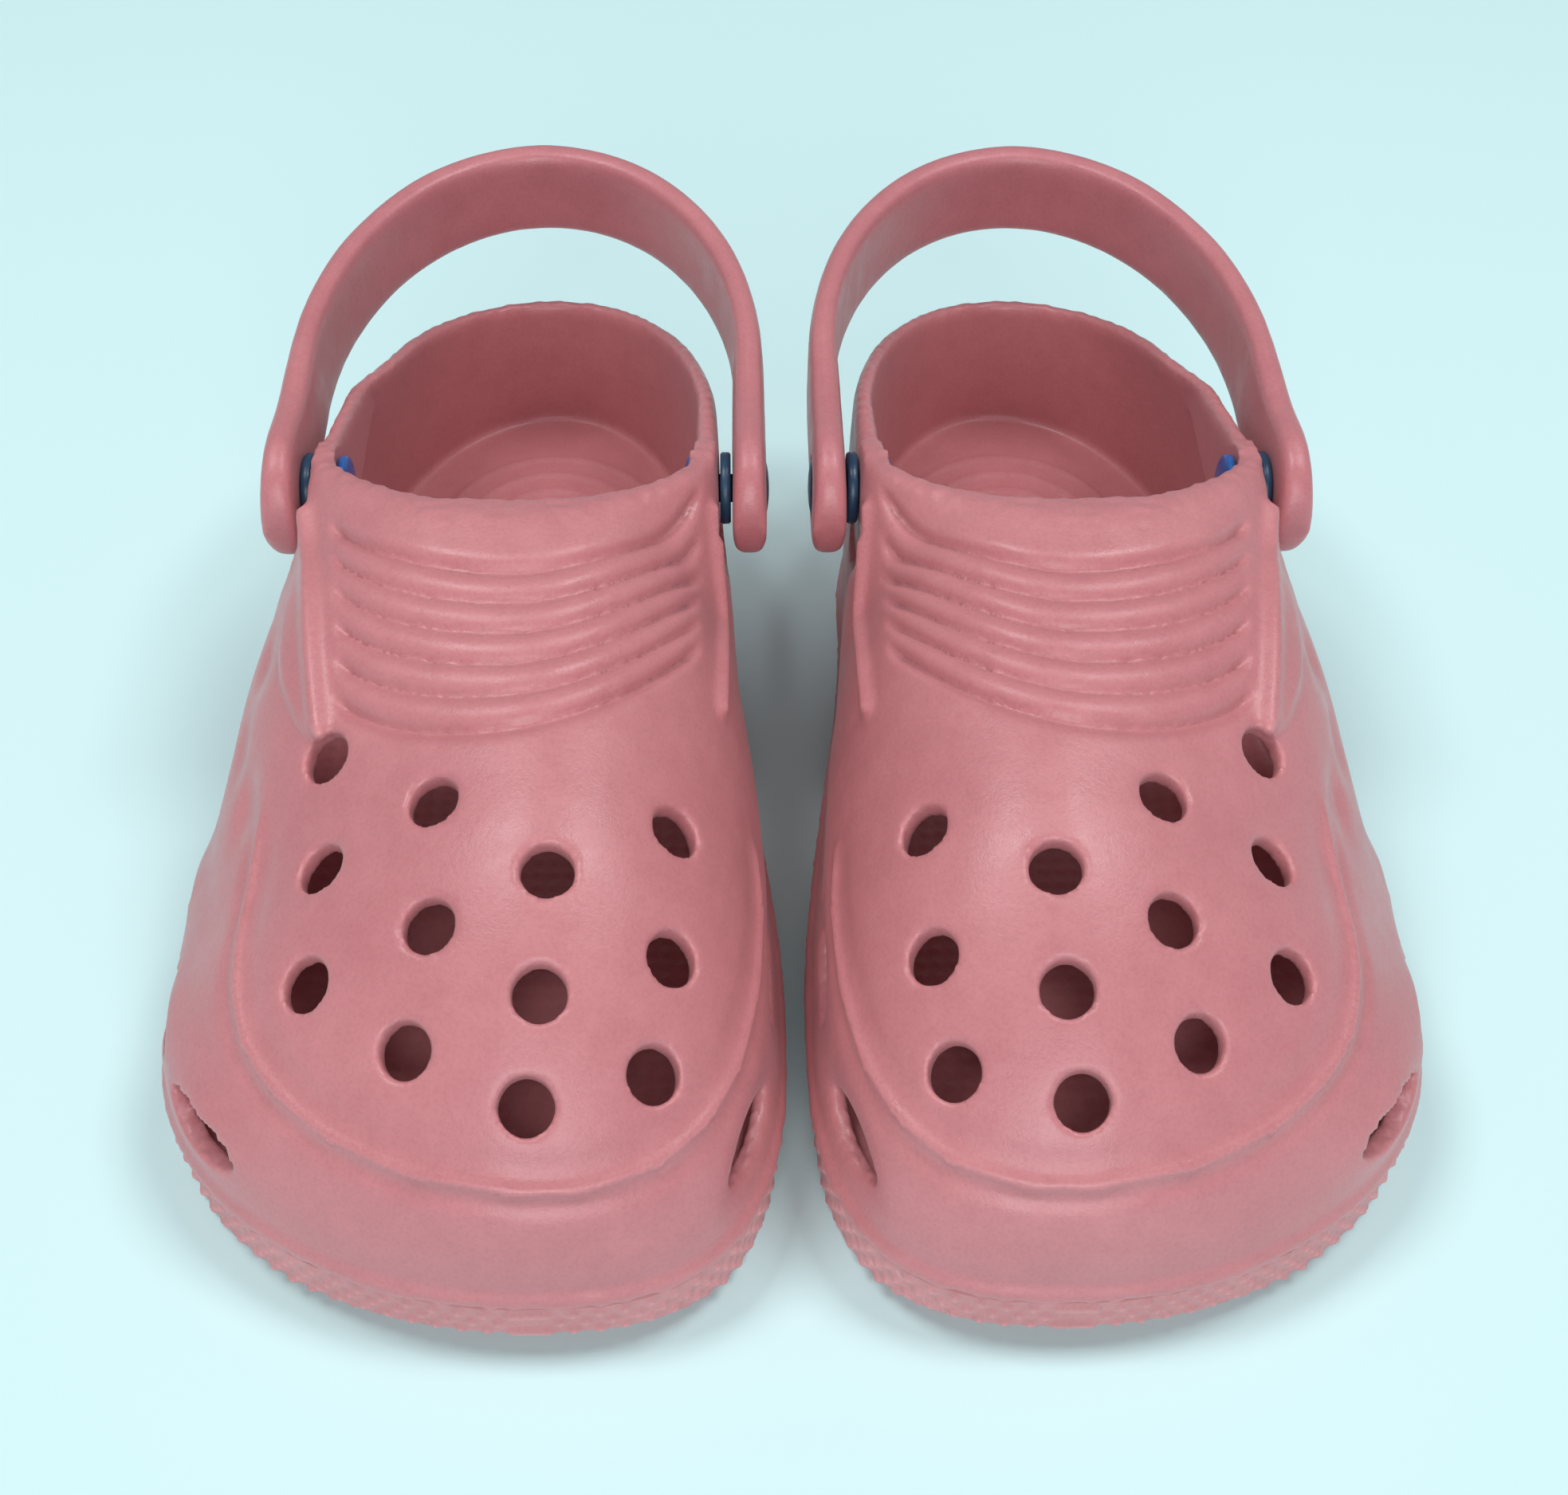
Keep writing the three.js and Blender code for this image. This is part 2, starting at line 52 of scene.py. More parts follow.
FIT_GAP = 0.3
SOLE = dict(
    length=231.0, toe_x=6.0, heel_x=0.5, heel_from_back=69.0, heel_roundness=2.0,
    lateral=dict(x=57.4, y=50.0, n=1.88, heel=43.5, full=1.2),
    medial=dict(x=48.7, y=55.0, n=3.0, heel=38.2, full=0.0),
    seam=14.0, flange=3.0, ledge=1.2,
)
TREAD = dict(
    foot_inset=1.8, top_inset=0.6, seam_gap=0.1, spring_length=62.0, spring_rise=6.5,
    bevel_length=26.0, bevel_rise=2.0, first_groove=36.0, groove_pitch=16.0, groove_count=11,
    groove_width=4.0, groove_depth=2.5,
)
DIMPLE = dict(rows=5, first_z=1.7, row_pitch=2.6, pitch=4.1, radius=0.95, height=0.8)
UPPER = dict(
    wall=3.8, rise_y=58.0, crown=71.5, slope=0.25, toe_roundness=2.05,
    ridge=(5.0, 9.0, 2.0, 0.5), front=(111.0, 84.2), back=(227.5, 55.0),
)
SECTION_Y = (55.0, 112.0, 144.0, 193.0)
ROUNDNESS = {-1: (1.56, 2.5, 3.8, 1.9), 1: (2.05, 2.6, 6.0, 3.6)}
FOOTBED_Z = (18.5, 17.0, 20.0, 24.5, 24.5)
HOLE_RADIUS = 4.2
HOLES = (
    (-26.7, 36.5), (-25.9, 54.5), (-26.7, 73.0), (-9.9, 23.4), (-6.7, 38.6), (-7.3, 58.3),
    (8.7, 15.3), (10.6, 28.0), (11.4, 44.3), (27.6, 21.2), (30.3, 36.6), (30.7, 56.6),
)
SLOTS = {-1: (26.0, 52.0, 78.0), 1: (24.0, 58.0, 86.0)}
SLOT_HALF_LENGTH, SLOT_HALF_HEIGHT, SLOT_Z = 10.0, 3.25, 25.0
PIVOT_Y, PIVOT_Z = 138.0, 69.0
RIVET = dict(
    shaft=2.6, head=5.6, head_thick=1.9, head_proud=0.5, cap=6.0, cap_thick=2.4, socket_depth=1.4,
    washer=6.6, washer_thick=1.9, seat_margin=1.0, seat_depth=4.0,
)

HEEL_Y = SOLE["length"] - SOLE["heel_from_back"]
BASE_Z = SOLE["seam"] + SOLE["flange"]
SEAT_HALF = SOLE["medial"]["heel"] - 1.4
STRAP_THICK, STRAP_BAND, LOBE_RADIUS, STRAP_LIFT = 6.3, 19.2, 12.0, math.radians(7.0)
STRAP_INNER_HALF = SEAT_HALF + RIVET["washer_thick"] + 2 * FIT_GAP
STRAP_HALF = STRAP_INNER_HALF + STRAP_THICK
STRAP_STRAIGHT = HEEL_Y + 6.0 - PIVOT_Y
STRAP_REACH = SOLE["length"] + 4.0 - PIVOT_Y
FLAT_RADIUS, FLAT_SLOPE = LOBE_RADIUS + 2.0, 0.7
BORE_RADIUS = RIVET["shaft"] + FIT_GAP
INNER_WALL_HALF = SEAT_HALF - UPPER["wall"]
HEAD_TOP = STRAP_HALF + RIVET["head_proud"]
HEAD_START = HEAD_TOP - RIVET["head_thick"]


# ---------------------------------------------------------------- arithmetic

def smooth(u):
    t = np.clip(u, 0.0, 1.0)
    return t * t * (3.0 - 2.0 * t)


def bell(d, width):
    return np.exp(-((d / width) ** 2))


def along(stations, values, y):
    """The value at y of a quantity given at rising stations, eased between them."""
    out = np.full(np.shape(y), float(values[0]))
    for i in range(len(stations) - 1):
        u = (y - stations[i]) / (stations[i + 1] - stations[i])
        out = np.where(y > stations[i], values[i] + (values[i + 1] - values[i]) * smooth(u), out)
    return out


def arch(t, n):
    return np.maximum(1.0 - np.minimum(np.abs(t), 1.0) ** n, 0.0) ** (1.0 / n)


def lattice_noise(points, cell, seed):
    """Smooth noise from -1 to 1 with features about one cell across."""
    q = np.asarray(points) / cell + 1000.0
    i = np.floor(q).astype(np.int64)
    f = q - i
    f = f * f * (3.0 - 2.0 * f)
    total = np.zeros(len(q))
    for corner in range(8):
        o = np.array([corner & 1, (corner >> 1) & 1, (corner >> 2) & 1])
        k = (i + o).astype(np.uint64)
        h = k[:, 0] * np.uint64(73856093) ^ k[:, 1] * np.uint64(19349663)
        h = h ^ (k[:, 2] * np.uint64(83492791)) ^ np.uint64(seed * 2654435761)
        h = (h ^ (h >> np.uint64(13))) * np.uint64(1274126177)
        value = ((h ^ (h >> np.uint64(16))) & np.uint64(65535)).astype(float) / 32767.5 - 1.0
        w = np.prod(np.where(o, f, 1.0 - f), axis=1)
        total += w * value
    return total


# ---------------------------------------------------------------- the clog's surface

def outline_x(side, y, inset=0.0):
    """The sole's outline on one side: round toe, waist and round heel."""
    s = SOLE["lateral"] if side < 0 else SOLE["medial"]
    ball = side * (s["x"] - inset)
    heel = SOLE["heel_x"] + side * (s["heel"] - inset)
    toe = SOLE["toe_x"] + (ball - SOLE["toe_x"]) * arch((s["y"] - y) / (s["y"] - inset), s["n"])
    t = (y - HEEL_Y) / (SOLE["heel_from_back"] - inset)
    back = SOLE["heel_x"] + (heel - SOLE["heel_x"]) * arch(t, SOLE["heel_roundness"])
    u = (y - s["y"]) / (HEEL_Y - s["y"])
    waist = ball + (heel - ball) * smooth(u)
    waist = waist + side * s["full"] * np.sin(np.pi * np.clip(u, 0, 1)) ** 2
    return np.where(y < s["y"], toe, np.where(y > HEEL_Y, back, waist))


def crown_z(y, inset=0.0):
    """The height of the upper's ridge: the rise of the toe box, then the straight instep."""
    line = UPPER["crown"] + UPPER["slope"] * (y - UPPER["rise_y"]) - inset
    t = (UPPER["rise_y"] - y) / (UPPER["rise_y"] - SOLE["ledge"] - inset)
    share = np.where(y < UPPER["rise_y"], arch(t, UPPER["toe_roundness"]), 1.0)
    return BASE_Z + (line - BASE_Z) * share


def half_limit(y, z):
    """Half the shell's greatest width where the strap passes it."""
    behind = np.maximum(y - PIVOT_Y, 0.0)
    ahead = np.maximum(PIVOT_Y - y, 0.0)
    band_z = PIVOT_Z + behind * math.tan(STRAP_LIFT)
    return SEAT_HALF + FLAT_SLOPE * np.maximum(np.hypot(ahead, z - band_z) - FLAT_RADIUS, 0.0)


def upper_point(y, angle, inset=0.0):
    """A point of the upper's arch at y, from the outer edge (0) to the inner one (pi)."""
    lateral, medial = (outline_x(s, y, SOLE["ledge"] + inset) for s in (-1, 1))
    ridge_stations = (0.0, SECTION_Y[0], SECTION_Y[1], HEEL_Y)
    ridge = np.clip(along(ridge_stations, UPPER["ridge"], y), lateral, medial)
    outer = angle < np.pi / 2
    n = np.where(outer, along(SECTION_Y, ROUNDNESS[-1], y), along(SECTION_Y, ROUNDNESS[1], y))
    x = ridge + (np.where(outer, lateral, medial) - ridge) * np.abs(np.cos(angle)) ** (2 / n)
    z = BASE_Z + (crown_z(y, inset) - BASE_Z) * np.abs(np.sin(angle)) ** (2 / n)
    half = np.minimum(np.abs(x - SOLE["heel_x"]), half_limit(y, z) - inset)
    held = SOLE["heel_x"] + np.sign(x - SOLE["heel_x"]) * half
    return np.stack([np.where(y > UPPER["rise_y"], held, x), y + 0 * x, z], -1)


def upper_above(x, y):
    """The point of the upper above x and y, found by halving."""
    low, high = np.zeros(np.shape(x)), np.full(np.shape(x), np.pi)
    for _ in range(30):
        middle = (low + high) / 2
        before = upper_point(y, middle)[..., 0] < x
        low, high = np.where(before, middle, low), np.where(before, high, middle)
    return upper_point(y, (low + high) / 2)


def collar_z(y):
    (y0, z0), (y1, z1) = UPPER["front"], UPPER["back"]
    return z0 + (z1 - z0) * (y - y0) / (y1 - y0)


# ---------------------------------------------------------------- mesh helpers

def mesh_object(name, points, faces):
    mesh = bpy.data.meshes.new(name)
    mesh.from_pydata(np.asarray(points).tolist(), [], [tuple(f) for f in faces])
    mesh.validate()
    obj = bpy.data.objects.new(name, mesh)
    bpy.context.scene.collection.objects.link(obj)
    return obj


def skin(name, rings):
    """A closed solid through rings of points with the same count, with a fan at both ends."""
    rings = np.asarray(rings, float)
    rows, count = rings.shape[:2]
    points = rings.reshape(-1, 3)
    a = (np.arange(rows - 1)[:, None] * count + np.arange(count)[None]).ravel()
    b = (np.arange(rows - 1)[:, None] * count + (np.arange(count) + 1)[None] % count).ravel()
    faces = np.stack([a, b, b + count, a + count], 1).tolist()
    ends = np.array([rings[0].mean(0), rings[-1].mean(0)])
    first, last = len(points), len(points) + 1
    tail = (rows - 1) * count
    for i in range(count):
        j = (i + 1) % count
        faces.append([first, j, i])
        faces.append([last, tail + i, tail + j])
    return mesh_object(name, np.vstack([points, ends]), faces)


def apply_modifier(obj, kind, **settings):
    mod = obj.modifiers.new("step", kind)
    for key, value in settings.items():
        setattr(mod, key, value)
    graph = bpy.context.evaluated_depsgraph_get()
    done = bpy.data.meshes.new_from_object(obj.evaluated_get(graph))
    obj.modifiers.clear()
    obj.data = done


def combine(obj, other, operation):
    apply_modifier(obj, "BOOLEAN", object=other, operation=operation, solver="MANIFOLD")
    bpy.data.objects.remove(other)
    return obj


def coordinates(obj):
    out = np.empty(len(obj.data.vertices) * 3)
    obj.data.vertices.foreach_get("co", out)
    return out.reshape(-1, 3)


def set_coordinates(obj, points):
    obj.data.vertices.foreach_set("co", np.asarray(points, float).ravel())
    obj.data.update()


def normals(obj):
    out = np.empty(len(obj.data.vertices) * 3)
    obj.data.vertex_normals.foreach_get("vector", out)
    return out.reshape(-1, 3)


def relax(obj, weight, rounds):
    """Moves each point towards the middle of its neighbours by its own weight."""
    pairs = np.empty(len(obj.data.edges) * 2, np.int64)
    obj.data.edges.foreach_get("vertices", pairs)
    i, j = pairs.reshape(-1, 2).T
    p = coordinates(obj)
    n = len(p)
    near = np.bincount(i, minlength=n) + np.bincount(j, minlength=n)
    w = np.broadcast_to(np.asarray(weight, float), (n,))[:, None]
    for _ in range(rounds):
        s = np.stack([
            np.bincount(i, p[j, k], n) + np.bincount(j, p[i, k], n) for k in range(3)
        ], 1)
        p = p + w * (s / np.maximum(near, 1)[:, None] - p)
    set_coordinates(obj, p)


def cylinder(name, start, end, radius, sides=64):
    start, end = np.asarray(start, float), np.asarray(end, float)
    axis = (end - start) / np.linalg.norm(end - start)
    helper = np.array([0, 0, 1.0]) if abs(axis[2]) < 0.9 else np.array([1.0, 0, 0])
    u = np.cross(axis, helper)
    u = u / np.linalg.norm(u)
    v = np.cross(axis, u)
    t = np.linspace(0, 2 * np.pi, sides, endpoint=False)
    ring = radius * (np.cos(t)[:, None] * u + np.sin(t)[:, None] * v)
    return skin(name, [start + ring, end + ring])


def prism_across(name, outline):
    """A side outline of (y, z) points, carried across the clog's full width."""
    o = np.asarray(outline, float)
    rings = [np.column_stack([np.full(len(o), x), o[:, 0], o[:, 1]]) for x in (-120.0, 120.0)]
    return skin(name, rings)


# ---------------------------------------------------------------- drawn lines on the upper

# Points on the surface, in the clog's own x and y.
PLATEAU = np.array([
    (-39.0, 72.0), (-39.3, 63.5), (-40.3, 52.7), (-39.9, 41.6), (-37.1, 32.3), (-31.1, 24.1),
    (-21.6, 16.1), (-8.9, 9.8), (5.7, 6.7), (17.6, 7.5), (28.3, 11.5), (35.6, 18.4),
    (40.6, 28.2), (43.3, 41.6), (44.2, 58.0), (43.5, 70.0),
])
LATERAL_RAIL = np.array([
    (-35.6, 124.0), (-33.6, 112.0), (-31.6, 100.4), (-30.2, 91.0), (-29.0, 83.6), (-27.8, 77.4),
])
MEDIAL_RAIL = np.array([
    (36.3, 126.6), (37.4, 118.0), (37.7, 110.0), (37.7, 98.0), (37.6, 88.3),
])
LATERAL_PANEL = np.array([
    (-35.6, 126.0), (-33.6, 112.0), (-31.6, 100.4), (-29.0, 83.6), (-27.8, 76.6), (-31.0, 76.8),
    (-35.0, 84.5), (-38.2, 93.7), (-38.2, 108.0), (-37.4, 126.0),
])


def resampled(line, step=0.5):
    line = np.asarray(line, float)
    length = np.r_[0, np.cumsum(np.linalg.norm(np.diff(line, axis=0), axis=1))]
    at = np.linspace(0, length[-1], max(int(length[-1] / step), 2))
    return np.column_stack([np.interp(at, length, line[:, k]) for k in range(line.shape[1])])


def rounded_line(line, rounds=3):
    """Cuts a line's corners by Chaikin's rule."""
    for _ in range(rounds):
        a = line[:-1] * 0.75 + line[1:] * 0.25
        b = line[:-1] * 0.25 + line[1:] * 0.75
        line = np.vstack([line[:1], np.stack([a, b], 1).reshape(-1, 2), line[-1:]])
    return line


def lifted(line):
    """A line drawn in x and y, rounded and carried up to the upper's surface."""
    flat = resampled(rounded_line(line))
    return upper_above(flat[:, 0], flat[:, 1])


def distance_to(points, line):
    """The distance of each point to the nearest one of a line of points."""
    out = np.empty(len(points))
    batch = 20000
    for start in range(0, len(points), batch):
        part = points[start:start + batch]
        out[start:start + batch] = np.sqrt(((part[:, None, :] - line[None]) ** 2).sum(-1).min(1))
    return out


def inside_polygon(x, y, polygon):
    inside = np.zeros(len(x), bool)
    for (x0, y0), (x1, y1) in zip(polygon, np.roll(polygon, -1, axis=0)):
        crosses = (y0 > y) != (y1 > y)
        with np.errstate(divide="ignore", invalid="ignore"):
            at = (x1 - x0) * (y - y0) / (y1 - y0) + x0
        inside ^= crosses & (x < at)
    return inside


# ---------------------------------------------------------------- the shell

def upper_solid(name, inset, base_z, rows, arcs):
    margin = SOLE["ledge"] + inset + 0.05
    t = np.linspace(0, np.pi, rows)
    ys = margin + (SOLE["length"] - 2 * margin) * (1 - np.cos(t)) / 2
    angle = np.linspace(0, np.pi, arcs)[None]
    arc = upper_point(ys[:, None] + 0 * angle, angle + 0 * ys[:, None], inset)
    first, last = arc[:, :1].copy(), arc[:, -1:].copy()
    first[..., 2] = base_z
    last[..., 2] = base_z
    return skin(name, np.concatenate([first, arc, last], 1))


def outline_ring(inset, z, count=300):
    margin = inset + 0.02
    t = np.linspace(0, np.pi, count)
    ys = margin + (SOLE["length"] - 2 * margin) * (1 - np.cos(t)) / 2
    lateral = np.column_stack([outline_x(-1, ys, inset), ys, np.full(count, z)])
    medial = np.column_stack([outline_x(1, ys, inset), ys, np.full(count, z)])
    return np.vstack([medial, lateral[::-1]])


def surface_normal(x, y):
    h = 0.5
    du = upper_above(np.array(x + h), np.array(y)) - upper_above(np.array(x - h), np.array(y))
    dv = upper_above(np.array(x), np.array(y + h)) - upper_above(np.array(x), np.array(y - h))
    n = np.cross(du, dv)
    return n / np.linalg.norm(n)


def slot_frame(side, y):
    """A side slot's middle, its direction along the sole, and the one through the wall."""
    def on_outline(at, z):
        return np.array([float(outline_x(side, np.array(at), SOLE["ledge"])), at, z])

    run = on_outline(y + 2.0, 0.0) - on_outline(y - 2.0, 0.0)
    lengthways = run / np.linalg.norm(run)
    return on_outline(y, SLOT_Z), lengthways, np.cross(lengthways, [0.0, 0.0, 1.0])


def slot_cutter(side, y):
    centre, lengthways, through = slot_frame(side, y)
    t = np.linspace(0, 2 * np.pi, 48, endpoint=False)
    c, s = np.cos(t), np.sin(t)
    lens = (SLOT_HALF_LENGTH * np.sign(c) * np.abs(c) ** 1.1)[:, None] * lengthways
    lens = lens + (SLOT_HALF_HEIGHT * s)[:, None] * np.array([0, 0, 1.0])
    depth = 11.0
    return skin("slot", [centre - depth * through + lens, centre + depth * through + lens])


# ---------------------------------------------------------------- the shell's relief

# Each function gives how far the shell's points stand proud of the plain surface, in millimetres.

RIB_COUNT, RIB_PITCH, RIB_FIRST_Y, RIB_MIDDLE_X, RIB_DEPTH = 5, 5.82, 98.0, 3.0, 2.2
RAILS = ((LATERAL_RAIL, 1.9), (MEDIAL_RAIL, 1.5))
# Hollows on the outer flank: the middle's y and z, the length, the half-height and the tilt.
FLANK_HOLLOWS = (
    (88.6, 50.0, 12.0, 3.2, 0.5), (76.0, 49.0, 11.0, 2.8, 0.5),
    (100.0, 60.0, 10.0, 3.0, 0.45), (98.0, 42.0, 12.0, 3.2, 0.45),
)
RING_RADII = (10.0, 16.0, 22.0, 28.0)
RING_MIDDLE = (0.5, 182.0)


def ribs(x, y, z):
    """Round ribs across the instep, which curve back at their ends."""
    outer = x < RIB_MIDDLE_X
    u = np.where(outer, (RIB_MIDDLE_X - x) / 32.0, (x - RIB_MIDDLE_X) / 31.0)
    bend = np.where(outer, 13.5 * u ** 2 + 3.0 * u ** 6, 22.0 * u ** 2 + 5.0 * u ** 6)
    t = RIB_FIRST_Y - (y - bend)
    over = 2.0 * np.mod(t / RIB_PITCH, 1.0) - 1.0
    rib = np.sqrt(1.0 - 0.98 * over ** 2)
    reach = RIB_COUNT * RIB_PITCH
    past = np.where(t < 0, -t, t - reach)
    groove = np.where((t >= 0) & (t <= reach), 1 - rib, 0.85 * bell(past, 1.6))
    left = along((66.0, 84.0, 126.0), (-25.0, -26.6, -31.5), y)
    right, fade = 34.6, 2.2
    ends = smooth((x - left) / fade) * smooth((right - x) / fade)
    return -RIB_DEPTH * groove * ends * smooth((z - 50) / 8)


def rails(p):
    """The raised rails that close the ribs off, and the flat panel outside the outer one."""
    x, y, z = p.T
    out = sum(height * bell(distance_to(p, lifted(line)), 1.6) for line, height in RAILS)
    border = resampled(rounded_line(np.vstack([LATERAL_PANEL, LATERAL_PANEL[:1]]), 2))
    flat = smooth(distance_to(np.column_stack([x, y]), border) / 1.6)
    return out + 0.9 * flat * inside_polygon(x, y, LATERAL_PANEL) * (z > 50)


def toe_lip(p):
    """The lip round the plateau of the toe box, with a shallow trough on each side of it."""
    x, y, _ = p.T
    plateau = np.vstack([PLATEAU, [(40, 90), (-38, 90)]])
    sign = np.where(inside_polygon(x, y, plateau), 1.0, -1.0)
    s = sign * distance_to(p, lifted(PLATEAU))
    lip = 0.75 * bell(s - 0.4, 1.0) - 0.45 * bell(s + 2.4, 1.7) - 0.25 * bell(s - 4.0, 2.2)
    return lip * smooth((76.0 - y) / 14.0)


def flank_hollows(x, y, z):
    out = np.zeros(len(x))
    for middle_y, middle_z, length, height, tilt in FLANK_HOLLOWS:
        dy, dz = y - middle_y, z - middle_z
        a = dy * math.cos(tilt) + dz * math.sin(tilt)
        b = -dy * math.sin(tilt) + dz * math.cos(tilt)
        out -= 1.4 * bell(a, length * 0.62) * bell(b, height) * (x < -20)
    return out


def footbed_relief(x, y):
    """Rings in the heel seat, and nubs ahead of them."""
    r = np.hypot((x - RING_MIDDLE[0]) / 0.86, y - RING_MIDDLE[1])
    rings = np.maximum.reduce([bell(r - q, 0.9) for q in RING_RADII])
    nubs = np.maximum(np.sin(x * 2.1), 0) * np.maximum(np.sin(y * 2.1), 0)
    return 0.55 * rings + 0.45 * nubs * smooth((150.0 - y) / 8.0)


def ragged_edges(p):
    """Trimming leaves the collar's edge and the seam slightly ragged."""
    collar = bell(p[:, 2] - collar_z(p[:, 1]), 1.6) * (p[:, 1] > 100)
    seam = bell(p[:, 2] - SOLE["seam"] - 0.6, 1.0)
    return collar * 0.22 * lattice_noise(p, 1.6, 7) + seam * 0.3 * lattice_noise(p, 1.9, 8)


def shell_relief(p, n):
    x, y, z = p.T
    heart = np.column_stack([np.clip(x, -8, 8), np.clip(y, 60, 200), np.full(len(p), 32.0)])
    outer = smooth(np.einsum("ij,ij->i", n, p - heart) / 2.0)
    above = outer * smooth((z - 20.0) / 4.0)
    floor = smooth((n[:, 2] - 0.8) / 0.1) * (z < 34) * (1 - outer)
    out = (ribs(x, y, z) + rails(p) + toe_lip(p)) * above
    out += flank_hollows(x, y, z) * outer + footbed_relief(x, y) * floor
    # The moulding is never quite even.
    out += 0.10 * lattice_noise(p, 14.0, 3) + 0.035 * lattice_noise(p, 4.0, 4)
    return out + ragged_edges(p)


def scoops(p):
    """How far the scoops that lead into the side slots move each point, as vectors."""
    out = np.zeros(p.shape)
    for side, stations in SLOTS.items():
        for at_y in stations:
            centre, lengthways, through = slot_frame(side, at_y)
            d = p - centre
            a, b, c = d @ lengthways, d[:, 2], d @ through
            share = smooth((c + 4.2) / 3.4) * (np.abs(c) < 16)
            out -= through * (2.6 * bell(a, 12.5) * bell(b - 1.6, 6.0) * share)[:, None]
    return out


# ---------------------------------------------------------------- the shell

def cut_hollow(body):
    """Takes out the foot's space above the footbed, and all above the sloping collar."""
    stations = (0.0, SECTION_Y[0], SECTION_Y[1], HEEL_Y, SOLE["length"])
    ys = np.linspace(0, SOLE["length"], 120)
    bed = np.column_stack([ys, along(stations, FOOTBED_Z, ys)])
    high = 220.0
    hollow = upper_solid("hollow", UPPER["wall"], SOLE["seam"] + 1.0, 160, 140)
    tall = prism_across("bed", np.vstack([bed, [(SOLE["length"], high), (0.0, high)]]))
    combine(hollow, tall, "INTERSECT")
    combine(body, hollow, "DIFFERENCE")
    ahead, behind, high = 60.0, 275.0, 260.0
    combine(body, prism_across("lid", [
        (ahead, collar_z(ahead)), (behind, collar_z(behind)), (behind, high), (ahead, high),
    ]), "DIFFERENCE")


def cut_holes_and_slots(body):
    """The vent holes lean halfway from square to the surface to upright."""
    for x, y in HOLES:
        centre = upper_above(np.array(x), np.array(y))
        lean = surface_normal(x, y) + np.array([0.0, 0.0, 1.0])
        reach = 9 * lean / np.linalg.norm(lean)
        combine(body, cylinder("hole", centre - reach, centre + reach, HOLE_RADIUS), "DIFFERENCE")
    for side, stations in SLOTS.items():
        for y in stations:
            combine(body, slot_cutter(side, y), "DIFFERENCE")


def pivot_cylinder(name, start_x, end_x, radius):
    return cylinder(name, (start_x, PIVOT_Y, PIVOT_Z), (end_x, PIVOT_Y, PIVOT_Z), radius)


def cut_rivet_seats(body):
    """A flat outside, a seat for the cap inside and one bore through both walls."""
    middle, depth = SOLE["heel_x"], RIVET["seat_depth"]
    seat_radius = RIVET["cap"] + RIVET["seat_margin"]
    for side in (-1, 1):
        outer = middle + side * SEAT_HALF
        flat = pivot_cylinder("flat", outer, outer + side * depth, FLAT_RADIUS)
        combine(body, flat, "DIFFERENCE")
        inner = middle + side * INNER_WALL_HALF
        seat = pivot_cylinder("seat", inner, inner - side * depth, seat_radius)
        combine(body, seat, "DIFFERENCE")
    reach = SEAT_HALF + 1
    bore = pivot_cylinder("bore", middle - reach, middle + reach, BORE_RADIUS)
    combine(body, bore, "DIFFERENCE")


def soften_rim(body, voxel):
    """Rounds the collar's edge more than the rest."""
    p = coordinates(body)
    rim = smooth((4.0 - np.abs(p[:, 2] - collar_z(p[:, 1]))) / 2.0) * (p[:, 1] > 100)
    near_seat = np.hypot(p[:, 1] - PIVOT_Y, p[:, 2] - PIVOT_Z) < 8.5
    relax(body, 0.6 * rim * ~near_seat, int(26 * (0.75 / voxel) ** 2))


def clear_of_strap(p):
    """Nothing may come into the strap's way."""
    middle = SOLE["heel_x"]
    swing = np.hypot(p[:, 1] - PIVOT_Y, p[:, 2] - PIVOT_Z) < FLAT_RADIUS + 1
    half = np.minimum(np.abs(p[:, 0] - middle), SEAT_HALF)
    p[:, 0] = np.where(swing, middle + np.sign(p[:, 0] - middle) * half, p[:, 0])
    p[:, 2] = np.maximum(p[:, 2], SOLE["seam"])
    return p


def make_shell():
    seam, top = SOLE["seam"], BASE_Z
    edge = ((0.7, seam), (0.15, seam + 0.35), (0, seam + 0.9),
            (0, top - 0.8), (0.2, top - 0.3), (0.7, top))
    body = skin("shell", [outline_ring(inset, z) for inset, z in edge])
    combine(body, upper_solid("outer", 0.0, seam + 1.0, 200, 180), "UNION")
    cut_hollow(body)
    cut_holes_and_slots(body)
    cut_rivet_seats(body)
    voxel = 0.75
    apply_modifier(body, "REMESH", mode="VOXEL", voxel_size=voxel)
    relax(body, 0.5, 3)
    soften_rim(body, voxel)
    p, n = coordinates(body), normals(body)
    moved = p + n * shell_relief(p, n)[:, None] + scoops(p)
    set_coordinates(body, clear_of_strap(moved))
    return body


# ---------------------------------------------------------------- the outsole

def dimpled(ring, run):
    """Sets rows of dimples out from one ring of the tread's side, run being the way round it."""
    out = ring - np.array([3.0, 110.0, 0.0])
    out[:, 2] = 0
    out /= np.linalg.norm(out, axis=1)[:, None]
    bumps = np.zeros(len(ring))
    for row in range(DIMPLE["rows"]):
        level = DIMPLE["first_z"] + row * DIMPLE["row_pitch"]
        phase = (run / DIMPLE["pitch"] + 0.5 * (row % 2)) % 1.0
        across = np.minimum(phase, 1 - phase) * DIMPLE["pitch"]
        bumps = np.maximum(bumps, bell(np.hypot(across, ring[:, 2] - level), DIMPLE["radius"]))
    rough = 0.12 * lattice_noise(ring, 2.2, 11)
    return ring + out * (DIMPLE["height"] * bumps + rough)[:, None]


